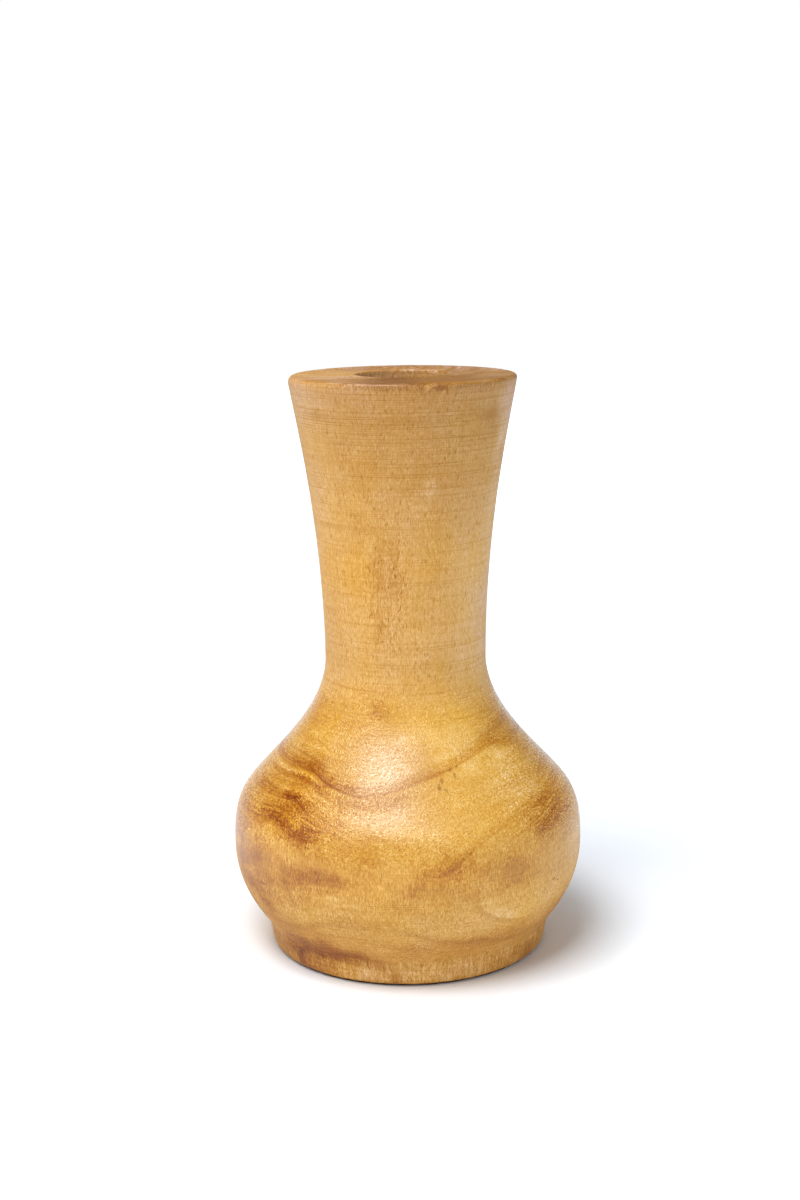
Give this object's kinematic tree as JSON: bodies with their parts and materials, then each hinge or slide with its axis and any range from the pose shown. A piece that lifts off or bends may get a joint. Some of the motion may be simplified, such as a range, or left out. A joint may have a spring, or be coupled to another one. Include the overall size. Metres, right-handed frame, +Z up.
{
  "type": "turned wooden vase",
  "caption": "Bottle-shaped turned wooden vase with a round belly, a long flared neck and a drilled bore that holds a loose glass water tube.",
  "frame": {"origin": "on the turning axis, at the underside of the felt disc that the vase stands on", "axes": "+Z up along the turning axis; the vase is round, so +X and +Y are free, and the picture looks along +Y"},
  "size_m": [0.153, 0.153, 0.25],
  "materials": {
    "wood": "pale honey wood with upright grain and fine lathe lines, satin wax on the belly, nearly matt on the neck",
    "glass": "clear, fire-polished lip",
    "felt": "dark brown pressed wool felt"
  },
  "bodies": {
    "vase": {"turned_body": "wood", "base_felt": "felt"},
    "liner": {"water_tube": "glass"}
  },
  "joints": [
    {"name": "liner_lift", "type": "slide", "parent": "vase", "child": "liner", "axis": [0, 0, 1], "range_m": [0, 0.2]}
  ]
}
